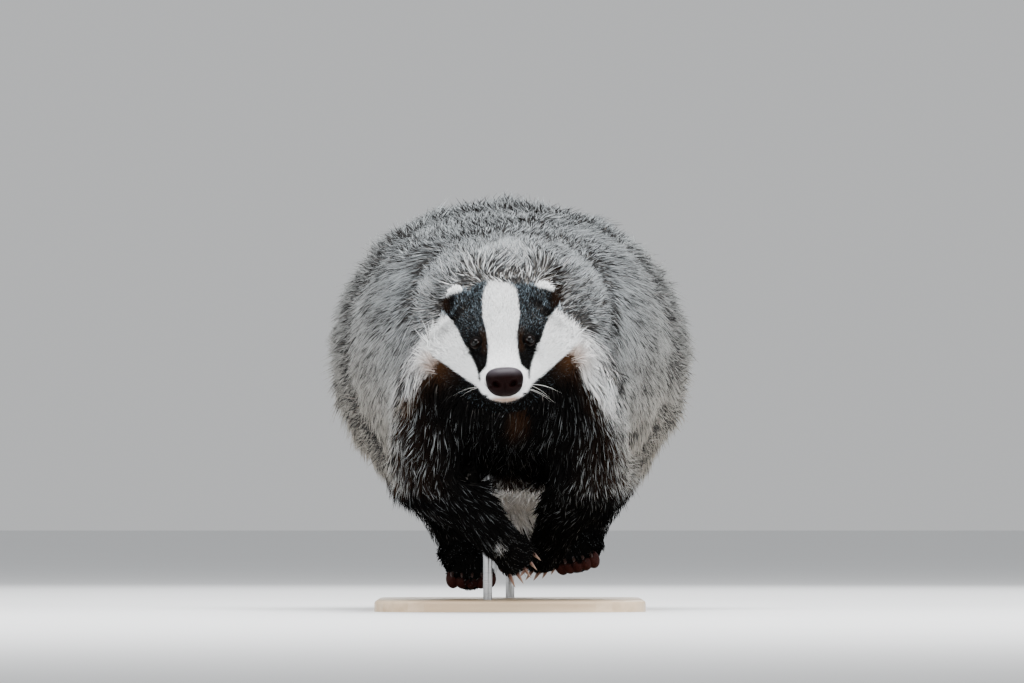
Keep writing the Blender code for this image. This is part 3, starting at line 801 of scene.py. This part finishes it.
def grow(name, slot, weight, count, width, axis, lift=1.0, longer=1.0, clump=0.4, cell=0.007, stray=0.10,
         reach=0.030):
    """Grows one piece of coat. Each lock leaves its root at a slant set by the depth of the coat,
    bends back toward the skin, strays a little, and leans to the nearest of a set of leading locks."""
    chosen, shares = scattered(skin, weight, count)
    root, along, up, long, deep, dense = (at_places(skin, values, chosen, shares)
                                          for values in (skin.points, lie, upright, length, share, facing))
    up = unit(up)
    along = unit(along - up * np.sum(along * up, axis=1, keepdims=True))
    side = np.cross(along, up)
    long = long * longer * (0.72 + 0.5 * chance.random(count))
    along = unit(along + side * (stray * chance.normal(size=count))[:, None])
    side = np.cross(along, up)
    rise = np.clip(deep * lift * (1.25 + 0.5 * chance.random(count)), 0, 0.95)
    flat = np.sqrt(1 - rise ** 2)
    t = STATIONS[None, :, None]
    bend = (SWAY * chance.normal(size=count))[:, None, None]
    path = root[:, None, :] + long[:, None, None] * (
        along[:, None, :] * flat[:, None, None] * t
        + up[:, None, :] * rise[:, None, None] * (t - BEND_BACK * t * t) + side[:, None, :] * bend * t * t)
    tone = chance.random((count, 4))
    leaders = chance.choice(count, max(8, int(count * min(1.0, (width / cell) ** 1.2))), replace=False)
    tree = KDTree(len(leaders))
    for number, leader in enumerate(leaders.tolist()):
        tree.insert(root[leader], number)
    tree.balance()
    leader = leaders[[tree.find(place)[1] for place in root.tolist()]]
    near = lengths(root - root[leader]) < 2.5 * cell
    pull = (path[leader, -1] - path[:, -1]) * (clump * near)[:, None]
    path = path + pull[:, None, :] * t ** 1.6
    tone[:, 0] = np.where(near, 0.6 * tone[leader, 0] + 0.4 * tone[:, 0], tone[:, 0])
    path[:, 0] -= HAIR_DEPTH * up
    marks = markings(path[:, 1])
    dice = chance.random((count, 1))
    sharp = np.clip(0.5 + (marks[:, :2] - dice) * 4.0, 0, 1)
    face = (path[:, 0, 1] < -0.25)[:, None]
    marks[:, :2] = np.where(face, 0.35 * marks[:, :2] + 0.65 * sharp, sharp)
    wide = width * (0.75 + 0.5 * chance.random(count)) * np.clip(long / (longer * reach), 0.4, 1.1)
    uv = unwrapped(root, *axis)
    piece = lock_mesh(name, path, side, up, wide / np.sqrt(dense), marks, tone, uv, HAIR[slot])


# Locks stand closer and finer where the body faces forward. The trunk has two kinds: a mass of broad
# locks, and thin guard hairs over them. Each row is a band of the trunk, which is a piece of each kind:
# its ends along the body, then the width of its locks and of its guard hairs.
facing = 1.0 + 2.2 * edge(-upright[:, 1], -0.1, 0.6)
trunk = on_parts(*TRUNK_PARTS)
TRUNK_AXIS = ((0, -0.3, 0.22), (0, 0.3, 0.22))
BANDS = (
    (-0.50, -0.17, 0.0030, 0.0012),
    (-0.17, -0.09, 0.0040, 0.0015),
    (-0.09, 0.02, 0.0040, 0.0015),
    (0.02, 0.14, 0.0040, 0.0015),
    (0.14, 0.50, 0.0040, 0.0015),
)
MASS_LOCKS, GUARD_HAIRS = 37500, 39500
for number, (low, high, lock_width, guard_width) in enumerate(BANDS, start=1):
    band = trunk * (skin.points[:, 1] >= low) * (skin.points[:, 1] < high) * facing
    part = face_areas(skin, band).sum() / face_areas(skin, trunk * facing).sum()
    grow(f"body_coat_{number}", "grey_coat", band, int(MASS_LOCKS * part), lock_width, TRUNK_AXIS,
         lift=0.88, longer=0.86, clump=0.55, cell=0.010, stray=0.14)
    grow(f"guard_hair_{number}", "grey_coat", band, int(GUARD_HAIRS * part), guard_width, TRUNK_AXIS,
         lift=0.92, longer=1.02, clump=0.35, cell=0.010, stray=0.20)

# The face is covered with short, fine locks, and bare at the eyes, the line of the lips and the nose.
near_eye = np.minimum(*(lengths(place - EYE * (side, 1, 1)) for side in (1, -1)))
bare = edge(near_eye, 0.0048, 0.0056)
bare *= 1 - mouth
bare *= edge(lengths((place - NOSE) / (0.0160, 0.0135, 0.0132)), 0.97, 1.05)
HEAD_AXIS = ((0, -0.40, 0.222), (0, -0.25, 0.235))
FACE_BANDS = ((-0.50, -0.335), (-0.335, -0.2))
FACE_LOCKS = 14500
for number, (low, high) in enumerate(FACE_BANDS, start=1):
    band = on_parts("head", "lower_jaw") * (place[:, 1] >= low) * (place[:, 1] < high) * bare
    grow(f"face_coat_{number}", "face_coat", band * facing, FACE_LOCKS, 0.0013, HEAD_AXIS, lift=0.85,
         clump=0.30, cell=0.003, stray=0.16, reach=0.010)

# Ears, legs, feet and tail. The axes of their maps run up the ear, down the limb and along the tail.
SHORT = {"clump": 0.2, "cell": 0.003}
for side, way in SIDES:
    grow(f"ear_coat_{side}", "face_coat", on_parts(f"ear_{side}"), 1300, 0.0013,
         ((way * 0.034, -0.286, 0.25), (way * 0.034, -0.286, 0.29)), reach=0.006, **SHORT)
    grow(f"foreleg_coat_{side}", "dark_coat", on_parts(f"upper_arm_{side}", f"forearm_{side}") * facing, 8000,
         0.0028, ((way * 0.05, -0.178, 0.215), (way * 0.06, -0.14, 0.08)), stray=0.14, reach=0.026)
    grow(f"hindleg_coat_{side}", "dark_coat", on_parts(f"thigh_{side}") * facing, 5000, 0.0024,
         ((way * 0.09, 0.12, 0.2), (way * 0.07, 0.06, 0.05)), longer=0.8, clump=0.2, stray=0.15)
    grow(f"forepaw_coat_{side}", "dark_coat", on_parts(f"forepaw_{side}"), 2200, 0.0013,
         ((0, -0.16, 0.09), (0, -0.15, 0.04)), reach=0.0065, **SHORT)
    grow(f"hind_foot_coat_{side}", "dark_coat", on_parts(f"hind_foot_{side}"), 2800, 0.0015,
         ((way * 0.06, 0.09, 0.06), (way * 0.05, 0.0, 0.04)), reach=0.0075, **SHORT)
grow("tail_coat", "grey_coat", on_parts("tail"), 5500, 0.0036, ((0, 0.26, 0.25), (0, 0.41, 0.21)), stray=0.12)


# The eyes: dark brown glass balls with a bulging, wet front. Each is set in the ring of its two lids,
# which are bare dark skin.
EYE_RADIUS = 0.0050
BULGE = 0.06
RIMS, SPOKES, LID_SPOKES = 40, 48, 72
# Section of a lid: the angle beyond the opening's edge, and the height over the ball in millimetres.
LID_SECTION = ((0.00, 0.00), (0.01, 0.20), (0.05, 0.32), (0.12, 0.34), (0.22, 0.31), (0.36, 0.30),
               (0.54, 0.42), (0.74, 0.62), (0.92, 0.70), (1.00, 0.00), (0.90, -0.8), (0.60, -1.2),
               (0.30, -1.0), (0.10, -0.6))
GAZE = unit(np.array([0.22, -0.97, 0.04]))


def grid_faces(rows, columns):
    """Triangles of a grid of points that is closed round its columns: two in each of its cells."""
    r, c = (axis.ravel() for axis in np.meshgrid(np.arange(rows - 1), np.arange(columns), indexing="ij"))
    low, high, step = r * columns, (r + 1) * columns, (c + 1) % columns
    return np.vstack([np.stack([low + c, low + step, high + step], axis=1),
                      np.stack([low + c, high + step, high + c], axis=1)])


def outward(points, faces):
    """The faces, turned so that their closed shape has its volume inside."""
    a, b, c = points[faces.T]
    return faces if np.einsum("ij,ij->i", a, np.cross(b, c)).sum() > 0 else faces[:, ::-1]


def capped(grid):
    """A closed surface from a grid of rows by columns by three: the first and the last row are
    closed with fans to their middles."""
    rows, columns = grid.shape[:2]
    points = np.vstack([grid.reshape(-1, 3), grid[0].mean(axis=0), grid[-1].mean(axis=0)])
    c = np.arange(columns)
    step, last = (c + 1) % columns, (rows - 1) * columns
    first_fan = np.stack([np.full(columns, rows * columns), step, c], axis=1)
    last_fan = np.stack([np.full(columns, rows * columns + 1), last + c, last + step], axis=1)
    faces = np.vstack([grid_faces(rows, columns), first_fan, last_fan])
    return points, outward(points - points.mean(axis=0), faces)


def gaze_frame(way):
    """The head-frame axes of an eye: to its outer corner, up, and forward along its gaze."""
    forward = GAZE * (way, 1, 1)
    right = unit(np.cross(forward, (0, 0, 1.0)))
    return right * (-way), unit(np.cross(right, forward)), forward


def rays(angle, turn, axes):
    """Directions from the eye's middle: the cosine of the angle goes along the gaze, and its sine is
    shared out by the cosine and sine of the turn."""
    outer_way, up_way, forward = axes
    return (np.cos(angle)[..., None] * forward + (np.sin(angle) * np.cos(turn))[..., None] * outer_way
            + (np.sin(angle) * np.sin(turn))[..., None] * up_way)


def circle(count):
    """Equal turns round a full circle."""
    return np.linspace(0, 2 * np.pi, count, endpoint=False)


def eyeball_finish():
    """Brown iris round a black pupil, under a wet clear coat."""
    finish = Finish("eye_wet", 0.04, Specular_IOR_Level=0.14)
    ring = finish.attribute("ring")[0]
    iris = finish.blend(ring.rise(0.46, 0.54), (0.0006, 0.0005, 0.0005), (0.0060, 0.0026, 0.0015))
    finish.tint(ring.rise(0.72, 0.84), iris, (0.003, 0.0025, 0.0025))
    return finish


def lid_finish():
    """Bare dark skin of the lids, paler along the lower one."""
    finish = Finish("lid_skin", 0.8, Specular_IOR_Level=0.01)
    grain = finish.noise(900.0, 4.0)
    dark = finish.blend(grain, (0.0016, 0.0014, 0.0014), (0.0060, 0.0048, 0.0045))
    finish.tint(finish.attribute("below")[0], dark, (0.060, 0.048, 0.043))
    finish.bump(grain, 0.0004)
    return finish


def eyeball(side, way, finish):
    """A ball with a bulging front: rings of equal angle from the gaze, each a full circle; the front
    swells by 6 percent."""
    angle = np.linspace(0.02, np.pi - 0.02, RIMS)
    swell = EYE_RADIUS * (1 + BULGE * np.exp(-(angle / 0.7) ** 2))
    a, b = np.meshgrid(angle, circle(SPOKES), indexing="ij")
    grid = EYE * (way, 1, 1) + swell[:, None, None] * rays(a, b, gaze_frame(way))
    points, faces = capped(grid)
    piece = new_piece(f"eyeball_{side}", from_head(points), faces, finish)
    ring = np.append(np.repeat(angle, SPOKES), [0.0, np.pi]) / 1.25
    paint(piece.data, "ring", ring)
    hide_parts(f"eye_{side}")


def lids(side, way, finish):
    """The two lids as one ring: a thick curved section carried round an almond opening that has its
    corners pointed inward and outward."""
    turn = circle(LID_SPOKES)
    low = np.clip(-np.sin(turn), 0, 1)
    high = np.clip(np.sin(turn), 0, 1)
    opening = 0.80 + 0.16 * np.abs(np.cos(turn)) ** 5 - 0.14 * high ** 2 - 0.04 * low ** 2
    across, height = np.array(LID_SECTION).T
    a = opening[None, :] + across[:, None]
    radius = EYE_RADIUS * 1.01 + 0.001 * height[:, None]
    radius = radius + 0.0002 * np.cos(3 * turn)[None, :] * (across[:, None] > 0.2)
    grid = EYE * (way, 1, 1) + radius[..., None] * rays(a, turn, gaze_frame(way))
    faces = grid_faces(len(grid) + 1, LID_SPOKES) % (len(grid) * LID_SPOKES)
    points = grid.reshape(-1, 3)
    faces = outward(points - points.mean(axis=0), faces)
    piece = new_piece(f"eyelids_{side}", from_head(points), faces, finish)
    band = edge(across, 0.05, 0.30) * fade(across, 0.55, 0.75)
    paint(piece.data, "below", (0.7 * band[:, None] * low ** 3).ravel())


wet, lid_skin = eyeball_finish(), lid_finish()
for side, way in SIDES:
    eyeball(side, way, wet)
    lids(side, way, lid_skin)


# The nose: a bare pad of pebbled leathery skin, broad above and rounded below, grown onto the end of
# the muzzle, with two nostrils and a fine groove.
NOSE_SIZE = np.array([0.0162, 0.0118, 0.0132])
NOSTRIL = np.array([0.0072, 0.0, -0.0026])


def nose_finish():
    """Dark maroon leather with small round pebbles, glossier on top, where a painted highlight tints it
    greyer.
    """
    finish = Finish("nose_leather", 0.50, Specular_IOR_Level=0.03, Coat_Roughness=0.30)
    cells = finish.node("ShaderNodeTexVoronoi", {"feature": "F1"}, {"Vector": finish.place(), "Scale": 900.0})
    top = finish.attribute("top")[0]
    under = finish.blend(finish.noise(160.0), (0.0016, 0.0004, 0.0004), (0.0060, 0.0014, 0.0012))
    # Painted highlight: the top of the pad is tinted a pale lavender grey for the light from above; the coat
    # weight that goes with it is real gloss.
    finish.tint(top, under, (0.046, 0.040, 0.047))
    finish.feed("Coat Weight", top * 0.22)
    finish.bump(1.0 - cells, 0.0003, 0.7)
    return finish


def nose_pad():
    """Rings of equal angle from the front point to the back, squared off a little; the nostrils and
    the middle groove are pressed in."""
    angle = np.linspace(0.02, np.pi - 0.02, 64)
    a, b = np.meshgrid(angle, circle(120), indexing="ij")
    x, y, z = np.sin(a) * np.cos(b), -np.cos(a), np.sin(a) * np.sin(b)
    taper = 1.0 + 0.10 * z
    square = (np.abs(x) ** 2.6 + np.abs(y) ** 2.6 + np.abs(z) ** 2.6) ** (-1 / 2.6)
    grid = np.stack([x * taper, y, z * np.where(z > 0, 0.92, 1.0)], axis=2) * square[..., None] * NOSE_SIZE
    front = edge(-y, 0.0, 0.4)
    for way in (1, -1):
        over = (grid[..., 0] - way * NOSTRIL[0]) / 0.0029
        down = (grid[..., 2] - NOSTRIL[2] - 0.0010 * over * way) / 0.0023
        pit = np.exp(-(over ** 2 + down ** 2) ** 1.5) * front
        past = (grid[..., 0] * way - 0.0118) / 0.0034
        slit = np.exp(-past ** 2 - ((grid[..., 2] + 0.0040) / 0.0011) ** 2) * front
        grid[..., 1] += 0.0052 * pit + 0.0022 * slit
        ridge = np.exp(-((np.hypot(over, down) - 1.45) / 0.40) ** 2) * front
        grid[..., 1] -= 0.0005 * ridge
    groove = np.exp(-(grid[..., 0] / 0.0008) ** 2) * edge(-grid[..., 2], -0.002, 0.004) * front
    grid[..., 1] += 0.0011 * groove
    points, faces = capped(grid + NOSE)
    piece = new_piece("nose_leather", from_head(points), faces, nose_finish())
    # How far up the pad each point lies: it sets the painted highlight and the glossier coat.
    top = edge((points[:, 2] - NOSE[2]) / NOSE_SIZE[2], 0.22, 0.86)
    paint(piece.data, "top", top)
    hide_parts("nose_pad")


nose_pad()


# The whiskers: a few stiff pale bristles of horn, rooted in the lips, that sweep back and down.
# There are five on the badger's left and two on its right.
WHISKERS = {1: 5, -1: 2}
WHISKER_RADIUS = 0.00011


def whisker_finish():
    """White horn."""
    finish = Finish("bristle", 0.4)
    finish.tint(finish.noise(60.0), (0.62, 0.61, 0.58), (0.82, 0.81, 0.78))
    return finish


def whiskers():
    """Tapered tubes along parabolas, six points round and ten stations long."""
    rows = []
    for way, number in WHISKERS.items():
        for k in range(number):
            back, low = k % 3, k // 3
            rows.append(((way * (0.0200 + 0.0025 * back), -0.388 + 0.006 * back, 0.1975 - 0.0040 * low),
                         (way * (0.95 - 0.2 * low), 0.30 + 0.15 * back, -0.02 - 0.30 * low),
                         0.020 + 0.004 * back))
    start, heading, reach = (np.array(column) for column in zip(*rows))
    heading = unit(heading + 0.10 * chance.normal(size=heading.shape))
    t = np.linspace(0, 1, 10)[None, :, None]
    path = start[:, None] + reach[:, None, None] * (heading[:, None] * t + np.array([0, 0.12, -0.30]) * t * t)
    side = unit(np.cross(heading, (0, 0, 1.0)))[:, None, None, :]
    up = unit(np.cross(side[:, 0, 0], heading))[:, None, None, :]
    turn = circle(6)[None, None, :, None]
    radius = WHISKER_RADIUS * (1 - 0.85 * t[..., None])
    grids = path[:, :, None] + radius * (np.cos(turn) * side + np.sin(turn) * up)
    points, faces = joined([capped(grid) for grid in grids])
    new_piece("whiskers", from_head(points), faces, whisker_finish())


whiskers()


# The claws: curved horn, flattened from side to side, brown at the root and pale at the end. The
# long ones of the forefeet are for digging. Each follows the root, bend and tip of its solid.
CLAW_RADIUS = 0.0025
TIP_RADIUS = 0.00012


def claw_finish():
    """Horn, paler toward the tip, with fine lengthwise grain."""
    finish = Finish("claw_horn", 0.38, Coat_Weight=0.2)
    along, fore, _ = finish.attribute("along")
    tint = finish.blend(along.rise(0.35, 1.0), (0.105, 0.042, 0.030), (0.46, 0.32, 0.25))
    tint = finish.blend(fore, (0.022, 0.011, 0.009), tint)
    finish.tint(finish.noise(500.0) * 0.4, tint, (0.06, 0.035, 0.028))
    finish.bump(finish.noise(700.0), 0.0003)
    return finish


def claw(name, finish):
    """Oval sections along a curve from the root through the bend to the tip, thinning to a point."""
    spots, _faces = node_arrays(name)
    middle = spots.mean(axis=0)
    main = np.linalg.svd(spots - middle)[2][0]
    at = (spots - middle) @ main
    main = main if (at > at.max() - 0.0005).sum() <= (at < at.min() + 0.0005).sum() else -main
    at = (spots - middle) @ main
    tip, root = spots[np.argmax(at)], spots[at < at.min() + 0.0012].mean(axis=0)
    centre = spots[(at > np.quantile(at, 0.3)) & (at < np.quantile(at, 0.8))].mean(axis=0)
    t = np.linspace(0, 1, 16)[:, None]
    bend = centre - (tip + root) / 2
    bend -= main * (bend @ main)
    path = root + (tip - root) * t + 4 * bend * t * (1 - t) * 0.8
    up = unit(bend)
    side = np.cross(main, up)
    turn = circle(14)[None, :, None]
    radius = (CLAW_RADIUS * (1 - t ** 2.0) + TIP_RADIUS)[:, None]
    grid = path[:, None] + radius * (0.78 * np.cos(turn) * side + 1.05 * np.sin(turn) * up)
    points, faces = capped(grid)
    piece = new_piece(f"horn_{name}", points, faces, finish)
    along = np.append(np.repeat(t, 14), [0.0, 1.0])
    paint(piece.data, "along", np.stack([along, np.full_like(along, name.startswith("fore")), along], axis=1))
    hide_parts(name)
    return root, main, up


horn = claw_finish()
toes = {}
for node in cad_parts:
    if "_claw_" in node:
        toes[node] = claw(node, horn)


# The pads: cushions of bare, rough, reddish-brown skin under the toes and the ball of each foot. Each
# kind of foot gives how far its toe pads reach and hang, then their width and thickness.
TOE_PADS = {"fore": (-0.0005, 0.0036, 0.0052, 0.0044), "hind": (0.0002, 0.0062, 0.0064, 0.0088)}
PAD_LENGTH = 0.0058
BALL_PAD = (0.0150, 0.0085, 0.0055)


def pad_finish():
    """Rough bare skin."""
    finish = Finish("pad_skin", 0.6, Specular_IOR_Level=0.08)
    grain = finish.noise(700.0, 5.0)
    finish.tint(grain, (0.0075, 0.0017, 0.0012), (0.034, 0.0070, 0.0050))
    finish.bump(grain, 0.0006)
    return finish


def cushion(centre, along, up, size):
    """A flattened ball: rings from its top to its underside."""
    side = np.cross(along, up)
    a, b = np.meshgrid(np.linspace(0.03, np.pi - 0.03, 14), circle(20), indexing="ij")
    across = size[0] * (np.sin(a) * np.cos(b))[..., None] * side
    ahead = size[1] * (np.sin(a) * np.sin(b))[..., None] * along
    return capped(centre + across + ahead + size[2] * np.cos(a)[..., None] * up)


def pads(kind, side, finish):
    """A cushion under each toe and a broad one behind them."""
    rows = [toes[f"{kind}_claw_{side}_{k}"] for k in range(1, 6)]
    down = -unit(np.mean([up for _root, _main, up in rows], axis=0))
    reach, low, wide, tall = TOE_PADS[kind]
    made = [cushion(root + reach * main + low * down, main, down, (wide, PAD_LENGTH, tall))
            for root, main, _up in rows]
    centre = np.mean([root for root, _main, _up in rows], axis=0)
    main = unit(np.mean([main for _root, main, _up in rows], axis=0))
    main = unit(main - down * (main @ down))
    made.append(cushion(centre - 0.0165 * main + BALL_PAD[2] * down, main, down, BALL_PAD))
    new_piece(f"{kind}_pads_{side}", *joined(made), finish)


pad_skin = pad_finish()
for side, _way in SIDES:
    for kind in TOE_PADS:
        pads(kind, side, pad_skin)


# The stand: a board of pale oiled maple with rounded edges, and two rods of brushed steel that are
# set in it and carry the trunk. The solids have their true shape, and only get finer materials.
def stretched(finish, scale):
    """Object coordinates, scaled along each axis."""
    return finish.node("ShaderNodeVectorMath", {"operation": "MULTIPLY"}, (finish.place(), scale))


def wood_finish():
    """Long grain: noise stretched along the board, over a slow change of tone."""
    finish = Finish("oiled_maple", 0.42, Coat_Weight=0.15, Coat_Roughness=0.3)
    grain = finish.noise(1.6, 6.0, spot=stretched(finish, (3.0, 60.0, 40.0)))
    finish.tint(grain.rise(0.30, 0.70), (0.42, 0.30, 0.19), (0.60, 0.46, 0.31))
    finish.bump(grain, 0.0006)
    return finish


def steel_finish():
    """Brushed steel: fine rings round the rod."""
    finish = Finish("brushed_steel", 0.30, Metallic=1.0)
    rings = finish.noise(1.0, 3.0, spot=stretched(finish, (40.0, 40.0, 2000.0)))
    finish.tint(rings, (0.30, 0.305, 0.31), (0.42, 0.425, 0.43))
    finish.feed("Roughness", rings * 0.15 + 0.22)
    return finish


def refinish(name, finish):
    """Gives a solid that stays in sight its finer material."""
    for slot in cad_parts[name].material_slots:
        slot.material = finish.material


steel = steel_finish()
refinish("stand_base", wood_finish())
refinish("stand_rod_front", steel)
refinish("stand_rod_rear", steel)


low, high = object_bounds()
